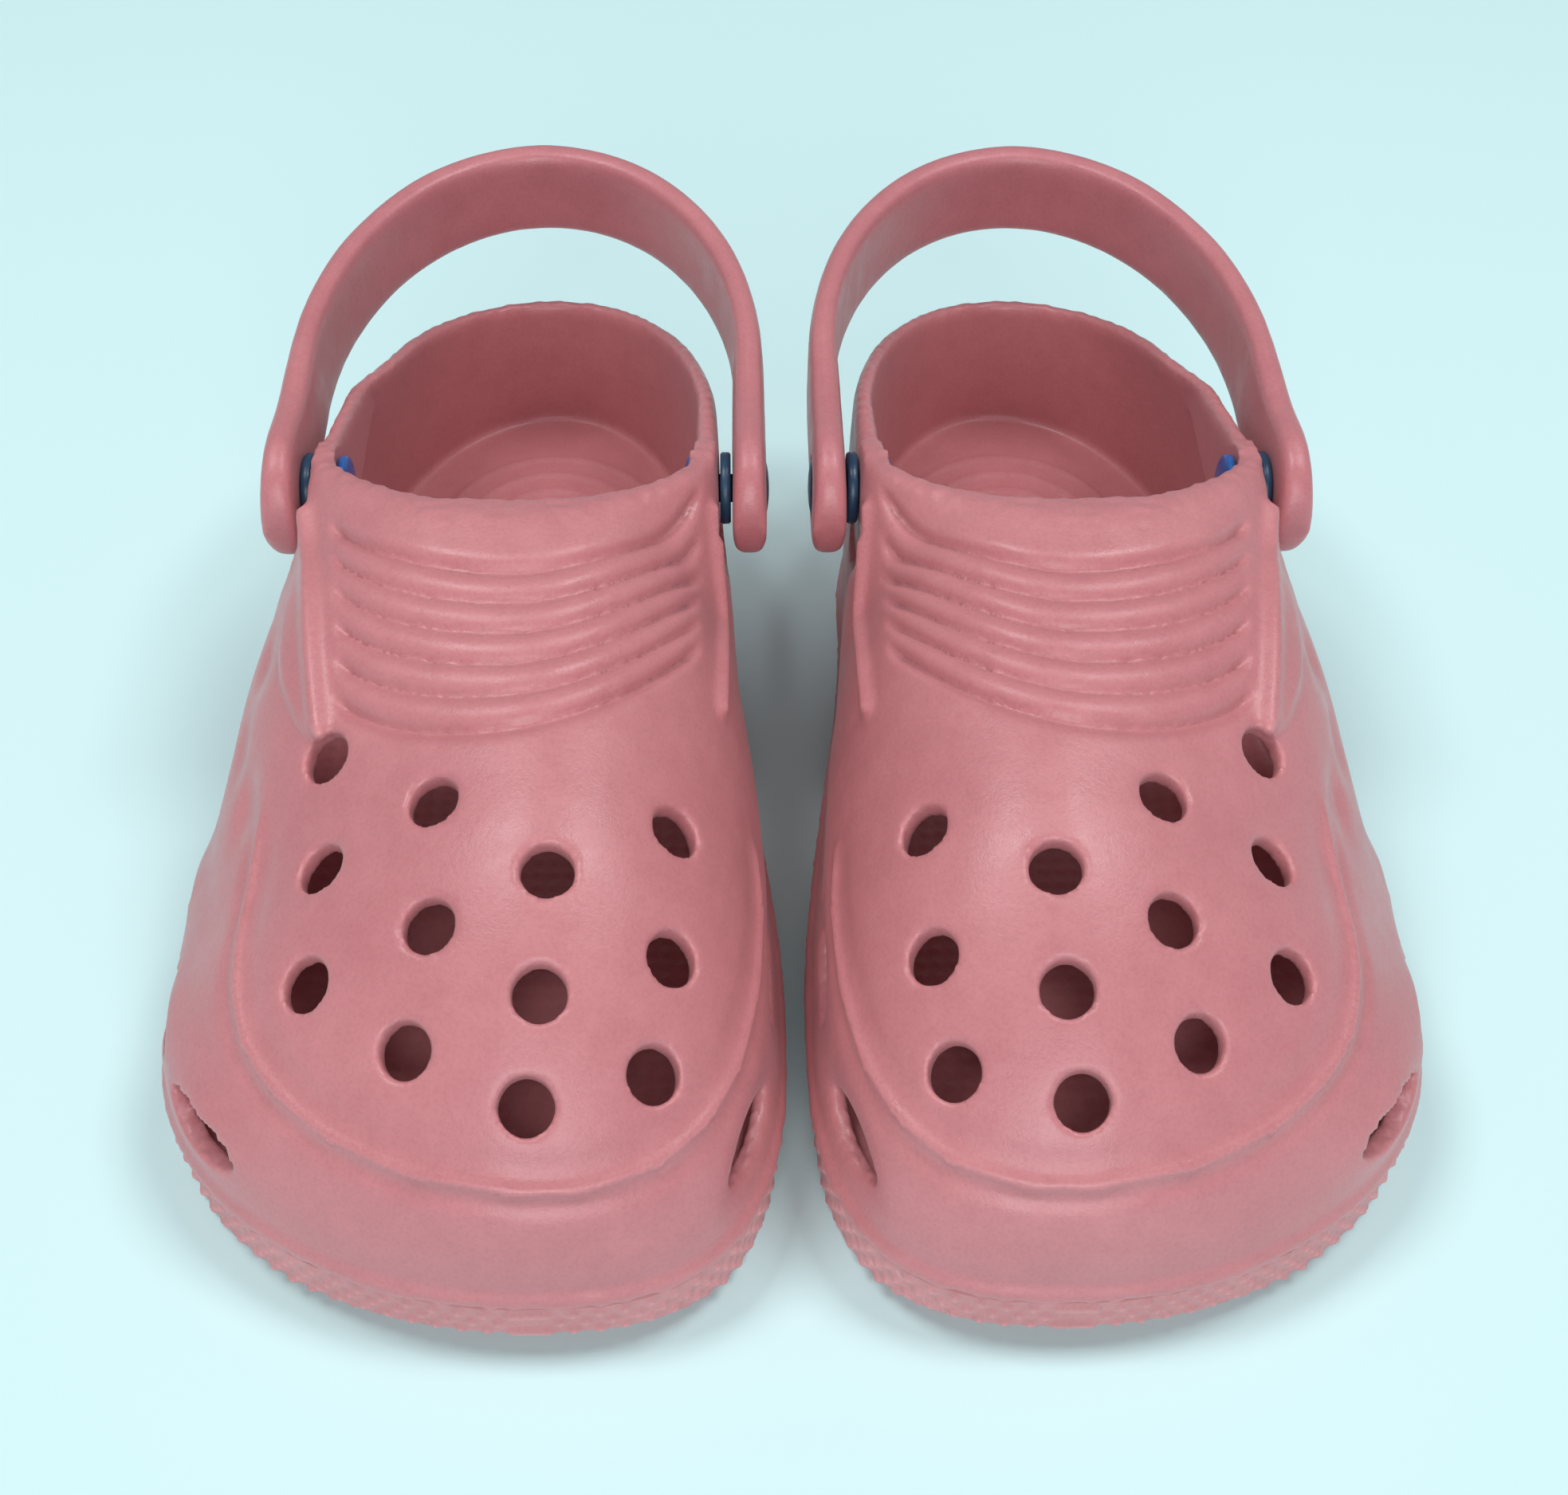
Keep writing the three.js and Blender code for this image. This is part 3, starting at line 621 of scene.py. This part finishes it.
def cut_underside(body):
    """The toe spring and heel bevel, with the space below each, and the cross grooves."""
    s = np.linspace(0, 1, 24)
    spring_y, rise, low = TREAD["spring_length"], TREAD["spring_rise"], -14.0
    spring = np.column_stack([spring_y * s, rise * (1 - s) ** 2])
    under_toe = [(y, low) for y in (spring_y, 45.0, 30.0, 15.0, -3.0)] + [(-3.0, rise)]
    start, past = SOLE["length"] - TREAD["bevel_length"], SOLE["length"] + 3
    bevel = np.column_stack([start + TREAD["bevel_length"] * s, TREAD["bevel_rise"] * s ** 2])
    under_heel = [(past, TREAD["bevel_rise"])] + [(y, low) for y in (past, start + 15.0, start)]
    for name, below in (("toe_spring", np.vstack([spring, under_toe])),
                        ("heel_bevel", np.vstack([bevel, under_heel]))):
        combine(body, prism_across(name, below[::-1]), "DIFFERENCE")
    half, depth = TREAD["groove_width"] / 2, TREAD["groove_depth"]
    for i in range(TREAD["groove_count"]):
        y = TREAD["first_groove"] + TREAD["groove_pitch"] * i
        groove = [(y - half, -1), (y + half, -1), (y + half / 2, depth), (y - half / 2, depth)]
        combine(body, prism_across("groove", groove), "DIFFERENCE")


def make_outsole():
    top_z = SOLE["seam"] - TREAD["seam_gap"]
    rows, count = ((30, 900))
    rings = []
    for share in np.arange(rows) / (rows - 1):
        inset = TREAD["foot_inset"] + (TREAD["top_inset"] - TREAD["foot_inset"]) * share
        rings.append(outline_ring(inset, top_z * share, count))
    run = np.cumsum(np.r_[0, np.linalg.norm(np.diff(rings[-1], axis=0), axis=1)])
    body = skin("outsole", [dimpled(ring, run) for ring in rings])
    cut_underside(body)
    return body


# ---------------------------------------------------------------- the strap

def strap_path(inset, s):
    """The point at share s round the strap, from the outer lobe's middle to the inner one's."""
    half = STRAP_HALF - inset
    depth = STRAP_REACH - STRAP_STRAIGHT - inset
    bend = math.pi * math.sqrt((half ** 2 + depth ** 2) / 2)
    total = 2 * STRAP_STRAIGHT + bend
    at = s * total
    angle = np.clip((at - STRAP_STRAIGHT) / bend, 0, 1) * np.pi
    round_back = STRAP_STRAIGHT + depth * np.sin(angle)
    y = np.where(at > STRAP_STRAIGHT + bend, total - at, round_back)
    return -half * np.cos(angle), np.where(at < STRAP_STRAIGHT, at, y)


def strap_section(middle, across, half_height):
    """A rounded oblong round one point of the strap's path."""
    t = np.linspace(0, 2 * np.pi, 48, endpoint=False)
    squareness = 4.0
    c, s = np.cos(t), np.sin(t)
    u = np.sign(c) * np.abs(c) ** (2 / squareness) * STRAP_THICK / 2
    v = np.sign(s) * np.abs(s) ** (2 / squareness) * half_height
    return np.column_stack([middle[0] + across[0] * u, middle[1] + across[1] * u, v])


def band_half_height(run):
    """Half the strap's height at a way run from the lobe's middle: the lobe, easing to the band."""
    band = STRAP_BAND / 2
    run = min(run, STRAP_STRAIGHT)
    lobe = math.sqrt(max(LOBE_RADIUS ** 2 - run ** 2, 0.0)) if run < STRAP_STRAIGHT else 0.0
    return max(lobe, band + (LOBE_RADIUS - band) * math.exp(-((run / 9.0) ** 2)))


def strap_rings(outer, inner):
    front = LOBE_RADIUS * np.cos(np.linspace(0.06, 1, 26) * np.pi / 2)
    side_x = (outer[0, 0] + inner[0, 0]) / 2
    rings = []
    for y in front:
        height = math.sqrt(LOBE_RADIUS ** 2 - y ** 2)
        rings.append(strap_section((side_x, -y), (-1.0, 0.0), height))
    for o, i in zip(outer, inner):
        middle = (o + i) / 2
        across = (o - i) / np.linalg.norm(o - i)
        rings.append(strap_section(middle, across, band_half_height(middle[1])))
    for y in front[::-1]:
        height = math.sqrt(LOBE_RADIUS ** 2 - y ** 2)
        rings.append(strap_section((-side_x, -y), (1.0, 0.0), height))
    return rings


def bore_lobes(body):
    """A through bore in each lobe, and the recess that the stud's head is sunk in."""
    for side in (-1, 1):
        inside, outside = side * (STRAP_INNER_HALF - 1), side * (STRAP_HALF + 1)
        bore = cylinder("bore", (inside, 0, 0), (outside, 0, 0), BORE_RADIUS)
        combine(body, bore, "DIFFERENCE")
        sunk = side * (HEAD_START - FIT_GAP)
        recess = cylinder("recess", (sunk, 0, 0), (outside, 0, 0), RIVET["head"] + FIT_GAP)
        combine(body, recess, "DIFFERENCE")


def make_strap():
    """The strap in its own frame, with the pivot at the origin and the band level."""
    shares = np.linspace(0, 1, 240)
    outer = np.column_stack(strap_path(0.0, shares))
    inner = np.column_stack(strap_path(STRAP_THICK, shares))
    body = skin("strap", strap_rings(outer, inner))
    apply_modifier(body, "REMESH", mode="VOXEL", voxel_size=0.7)
    bore_lobes(body)
    relax(body, 0.5, 6)
    p, n = coordinates(body), normals(body)
    d = 0.09 * lattice_noise(p, 12.0, 21) + 0.03 * lattice_noise(p, 3.5, 22)
    # The mould's parting line runs round the middle of the band's top and bottom edge.
    path = np.column_stack([(outer + inner) / 2, np.zeros(len(outer))])
    near = distance_to(np.column_stack([p[:, :2], np.zeros(len(p))]), path)
    d = d + 0.22 * bell(near, 0.5) * smooth((np.abs(n[:, 2]) - 0.6) / 0.2)
    moved = p + n * d[:, None]
    # Its inner faces stay flat round the pivot, where it turns on the washers.
    x = moved[:, 0]
    flat = (moved[:, 1] < 20.0) & (np.abs(x) < STRAP_INNER_HALF + 0.6)
    held = np.sign(x) * np.maximum(np.abs(x), STRAP_INNER_HALF)
    moved[:, 0] = np.where(flat, held, x)
    set_coordinates(body, moved)
    return body


# ---------------------------------------------------------------- rivets and washers

def turned(name, profile, sides=72):
    """A closed solid turned about the x axis from a profile of (radius, x) points."""
    t = np.linspace(0, 2 * np.pi, sides, endpoint=False)
    rings = [np.column_stack([np.full(sides, x), r * np.cos(t), r * np.sin(t)])
             for r, x in profile]
    return skin(name, rings)


def make_stud():
    """A shaft that reaches into the cap, with a low domed head sunk in the strap."""
    shaft, head = RIVET["shaft"], RIVET["head"]
    start = INNER_WALL_HALF - RIVET["socket_depth"]
    rim = HEAD_START + 0.8
    dome = [(head * math.cos(a), rim + (HEAD_TOP - rim) * math.sin(a))
            for a in np.linspace(0, 1.45, 14)]
    return turned("stud", [
        (shaft - 0.3, start), (shaft, start + 0.3), (shaft, HEAD_START), (head - 0.3, HEAD_START),
        (head, HEAD_START + 0.25), *dome, (0.5, HEAD_TOP), (0.01, HEAD_TOP - 0.15),
    ])


def make_cap():
    """A domed cap inside the collar, with the socket that the stud's shaft snaps into."""
    radius, socket = RIVET["cap"], BORE_RADIUS
    face = INNER_WALL_HALF - FIT_GAP
    back = face - RIVET["cap_thick"]
    floor = face - RIVET["socket_depth"]
    bulge = 1.3
    dome = [(radius * math.cos(a), back + bulge - bulge * math.sin(a))
            for a in np.linspace(0, 1.3, 12)]
    return turned("cap", [
        (0.01, floor), (socket, floor), (socket, face), (radius - 0.2, face),
        (radius, face - 0.25), *dome, (0.9, back), (0.6, back + 0.3), (0.01, back + 0.35),
    ])


def make_washer():
    """A ring with a small chamfer on its outer edges."""
    a = SEAT_HALF + FIT_GAP
    b = a + RIVET["washer_thick"]
    r, c = RIVET["washer"], 0.35
    profile = [(BORE_RADIUS, a), (r - c, a), (r, a + c), (r, b - c), (r - c, b), (BORE_RADIUS, b)]
    return combine(turned("washer", profile),
                   cylinder("bore", (0, 0, 0), (80, 0, 0), BORE_RADIUS), "DIFFERENCE")


# ---------------------------------------------------------------- materials

def material(name):
    mat = bpy.data.materials.new(name)
    mat.use_nodes = True
    tree = mat.node_tree
    return mat, tree, tree.nodes["Principled BSDF"]


def node(tree, kind, **inputs):
    n = tree.nodes.new(kind)
    for key, value in inputs.items():
        n.inputs[key.replace("_", " ")].default_value = value
    return n


def noise(tree, place, size, detail=2.0, rough=0.5):
    """Noise whose features are about size metres across."""
    n = node(tree, "ShaderNodeTexNoise", Scale=1.0 / size, Detail=detail, Roughness=rough)
    tree.links.new(place.outputs["Object"], n.inputs["Vector"])
    return n.outputs["Fac"]


def ramp(tree, source, stops):
    n = tree.nodes.new("ShaderNodeValToRGB")
    while len(n.color_ramp.elements) < len(stops):
        n.color_ramp.elements.new(0.5)
    for e, (at, colour) in zip(n.color_ramp.elements, stops):
        e.position = at
        e.color = (*colour, 1.0) if len(colour) == 3 else colour
    tree.links.new(source, n.inputs["Fac"])
    return n.outputs["Color"]


def mixed(tree, share, a, b, blend="MIX"):
    n = tree.nodes.new("ShaderNodeMix")
    n.data_type = "RGBA"
    n.blend_type = blend
    for socket, value in ((n.inputs["Factor"], share), (n.inputs[6], a), (n.inputs[7], b)):
        if hasattr(value, "is_output"):
            tree.links.new(value, socket)
        elif isinstance(value, (tuple, list)):
            socket.default_value = (*value, 1.0)
        else:
            socket.default_value = value
    return n.outputs[2]


def bumped(tree, shader, layers):
    """Stacks bump layers of (height output, depth in metres) onto a shader."""
    last = None
    for height, depth in layers:
        b = node(tree, "ShaderNodeBump", Strength=1.0, Distance=depth)
        tree.links.new(height, b.inputs["Height"])
        if last is not None:
            tree.links.new(last, b.inputs["Normal"])
        last = b.outputs["Normal"]
    tree.links.new(last, shader.inputs["Normal"])


def foam(name, light, dark, roughness, grain):
    """Closed-cell foam: broad shades of colour, small patches, fine specks, and a painted highlight
    on convex edges.
    """
    mat, tree, shader = material(name)
    place = tree.nodes.new("ShaderNodeTexCoord")
    broad = noise(tree, place, 0.030, 3.0)
    patches = noise(tree, place, 0.006, 3.0, 0.6)
    speck = noise(tree, place, 0.0007, 2.0, 0.7)
    pores = noise(tree, place, 0.00035, 2.0, 0.6)
    base = ramp(tree, broad, [(0.30, dark), (0.70, light)])
    patchy = ramp(tree, patches, [(0.30, (0.92, 0.88, 0.88)), (0.70, (1.05, 1.05, 1.05))])
    base = mixed(tree, 0.45, base, patchy, "MULTIPLY")
    specks = ramp(tree, speck, [
        (0.36, (0.90, 0.87, 0.87)), (0.50, (1, 1, 1)), (0.66, (1.05, 1.05, 1.05)),
    ])
    base = mixed(tree, 0.5, base, specks, "MULTIPLY")
    # Painted highlight: convex edges, found by pointiness, are lightened towards a brighter copy of
    # the light colour.
    edge_highlight_geometry = tree.nodes.new("ShaderNodeNewGeometry")
    edge = ramp(tree, edge_highlight_geometry.outputs["Pointiness"], [(0.52, (0, 0, 0)), (0.60, (1, 1, 1))])
    base = mixed(tree, edge, base, tuple(min(1.0, c * 1.14 + 0.02) for c in light))
    tree.links.new(base, shader.inputs["Base Color"])
    rough = ramp(tree, patches, [(0.3, (roughness - 0.07,) * 3), (0.7, (roughness + 0.08,) * 3)])
    tree.links.new(rough, shader.inputs["Roughness"])
    shader.inputs["Specular IOR Level"].default_value = 0.5
    shader.inputs["Subsurface Weight"].default_value = 0.12
    shader.inputs["Subsurface Radius"].default_value = (0.0030, 0.0012, 0.0010)
    shader.inputs["Subsurface Scale"].default_value = 1.0
    shader.inputs["Sheen Weight"].default_value = 0.08
    shader.inputs["Sheen Roughness"].default_value = 0.5
    bumped(tree, shader, [(patches, 0.00012), (speck, grain), (pores, grain * 0.6)])
    return mat


def plastic(name, light, dark, roughness):
    """Moulded plastic with a slightly uneven colour and gloss."""
    mat, tree, shader = material(name)
    place = tree.nodes.new("ShaderNodeTexCoord")
    broad = noise(tree, place, 0.004, 3.0)
    fine = noise(tree, place, 0.0004, 2.0)
    base = ramp(tree, broad, [(0.3, dark), (0.7, light)])
    tree.links.new(base, shader.inputs["Base Color"])
    rough = ramp(tree, broad, [(0.3, (roughness - 0.06,) * 3), (0.7, (roughness + 0.08,) * 3)])
    tree.links.new(rough, shader.inputs["Roughness"])
    bumped(tree, shader, [(broad, 0.00008), (fine, 0.00002)])
    return mat


LOOKS = {
    "upper_foam": foam("upper_foam", (0.600, 0.228, 0.246), (0.555, 0.200, 0.220), 0.38, 0.00004),
    # Painted light: the tread's colour is lighter than the upper's, to offset the shade on the inset
    # tread.
    "tread_foam": foam("tread_foam", (0.660, 0.290, 0.305), (0.600, 0.245, 0.260), 0.62, 0.00007),
    # Painted shade: the strap's colour is a little darker than the upper's, for the shade that falls
    # on the strap.
    "strap_foam": foam("strap_foam", (0.575, 0.208, 0.228), (0.530, 0.182, 0.204), 0.38, 0.00004),
    "cap_plastic": plastic("cap_plastic", (0.030, 0.155, 0.520), (0.018, 0.105, 0.400), 0.30),
    # Painted shade: the studs and washers take a dark copy of the caps' blue, for the shade they sit
    # in between strap and shell.
    "navy_plastic": plastic("navy_plastic", (0.016, 0.060, 0.120), (0.010, 0.040, 0.085), 0.36),
}


# ---------------------------------------------------------------- assembly

def pivot_of(foot):
    """The middle of a clog's two washers, in millimetres in the part's frame."""
    boxes = [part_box(f"{foot}_{side}_washer") for side in ("lateral", "medial")]
    return sum((np.array(lo) + np.array(hi)) / 2 for lo, hi in boxes) / 2 / MM


LOCAL_PIVOT = np.array([SOLE["heel_x"], PIVOT_Y, PIVOT_Z])


def placed(source, name, foot, slot_name, body, node_name, turn=None):
    """A copy of a mesh in the right clog's own frame, set in the part's frame for one foot."""
    p = coordinates(source)
    if turn is not None:
        p = p @ np.array(turn).T + LOCAL_PIVOT
    mirror = 1.0 if foot == "right" else -1.0
    p = (p - LOCAL_PIVOT) * np.array([mirror, 1.0, 1.0]) + pivot_of(foot)
    obj = bpy.data.objects.new(name, source.data.copy())
    obj.data.name = name
    bpy.context.scene.collection.objects.link(obj)
    set_coordinates(obj, p * MM)
    flipped = mirror * (np.linalg.det(turn) if turn is not None else 1.0) < 0
    if flipped:
        obj.data.flip_normals()
    obj.data.materials.clear()
    obj.data.materials.append(LOOKS[slot_name])
    obj.data.polygons.foreach_set("material_index", [0] * len(obj.data.polygons))
    obj.data.polygons.foreach_set("use_smooth", [True] * len(obj.data.polygons))
    obj.data.update()
    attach(obj, body)
    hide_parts(node_name)
    return obj


shell, outsole, strap = make_shell(), make_outsole(), make_strap()
stud, cap, washer = make_stud(), make_cap(), make_washer()

cosine, sine = math.cos(STRAP_LIFT), math.sin(STRAP_LIFT)
LIFT = np.array([[1, 0, 0], [0, cosine, -sine], [0, sine, cosine]])

for foot in ("right", "left"):
    clog = f"{foot}_clog"
    placed(shell, f"{foot}_upper", foot, "upper_foam", clog, f"{foot}_shell")
    placed(outsole, f"{foot}_tread", foot, "tread_foam", clog, f"{foot}_outsole")
    placed(strap, f"{foot}_strap", foot, "strap_foam", f"{foot}_strap", f"{foot}_heel_strap", LIFT)
    for side_name, side in (("lateral", -1.0), ("medial", 1.0)):
        turn = np.diag([side, side, 1.0])
        for part, source, slot_name in (
            ("rivet_stud", stud, "navy_plastic"), ("rivet_cap", cap, "cap_plastic"),
            ("washer", washer, "navy_plastic"),
        ):
            node_name = f"{foot}_{side_name}_{part}"
            placed(source, node_name + "_turned", foot, slot_name, clog, node_name, turn)
for source in (shell, outsole, strap, stud, cap, washer):
    bpy.data.objects.remove(source)


# ---------------------------------------------------------------- floor, light and camera

def make_floor():
    mesh = bpy.data.meshes.new("floor")
    half = 6.0
    corners = [(-half, -half, 0), (half, -half, 0), (half, half, 0), (-half, half, 0)]
    mesh.from_pydata(corners, [], [(0, 1, 2, 3)])
    obj = bpy.data.objects.new("floor", mesh)
    bpy.context.scene.collection.objects.link(obj)
    mat, tree, shader = material("floor")
    shader.inputs["Base Color"].default_value = (0.690, 0.940, 0.955, 1.0)
    shader.inputs["Roughness"].default_value = 0.9
    shader.inputs["Specular IOR Level"].default_value = 0.0
    mesh.materials.append(mat)


def area_light(name, place, aim, size, power):
    """A round softbox that faces aim."""
    light = bpy.data.lights.new(name, "AREA")
    light.shape = "DISK"
    light.size, light.energy = size, power
    obj = bpy.data.objects.new(name, light)
    bpy.context.scene.collection.objects.link(obj)
    a, b = np.array(place, float), np.array(aim, float)
    f = (b - a) / np.linalg.norm(b - a)
    r = np.cross(f, [0, 0, 1.0])
    r = r / np.linalg.norm(r)
    u = np.cross(r, f)
    obj.matrix_world = Matrix(np.vstack([np.column_stack([r, u, -f, a]), [0, 0, 0, 1]]).tolist())


def make_camera():
    """The camera at the photo's angle, fitted to both clogs."""
    place = (-0.010289, -0.280068, 0.288392)
    yaw, pitch, roll = (math.radians(a) for a in (1.972, 43.573, 1.041))
    level = math.cos(pitch)
    f = np.array([math.sin(yaw) * level, math.cos(yaw) * level, -math.sin(pitch)])
    r0 = np.array([math.cos(yaw), -math.sin(yaw), 0.0])
    u0 = np.cross(r0, f)
    r = r0 * math.cos(roll) + u0 * math.sin(roll)
    u = u0 * math.cos(roll) - r0 * math.sin(roll)
    data = bpy.data.cameras.new("camera")
    data.sensor_width = 36.0
    data.lens = data.sensor_width * 2495.0 / 1967.0
    data.clip_start, data.clip_end = 0.01, 50.0
    obj = bpy.data.objects.new("camera", data)
    bpy.context.scene.collection.objects.link(obj)
    rows = np.column_stack([r, u, -f, place])
    obj.matrix_world = Matrix(np.vstack([rows, [0, 0, 0, 1]]).tolist())
    bpy.context.scene.camera = obj


make_floor()
AIM = (0.0, 0.0, 0.03)
for name, x in (("left_softbox", -0.75), ("right_softbox", 0.75)):
    area_light(name, (x, 0.0, 1.90), AIM, size=0.70, power=13.5)
area_light("front_fill", (0.0, -2.4, 1.15), AIM, size=1.5, power=29.0)
world = bpy.data.worlds.new("studio")
world.use_nodes = True
background = world.node_tree.nodes["Background"]
background.inputs["Color"].default_value = (0.86, 0.96, 1.0, 1.0)
background.inputs["Strength"].default_value = 0.26
bpy.context.scene.world = world
bpy.context.scene.view_settings.view_transform = "Standard"
make_camera()
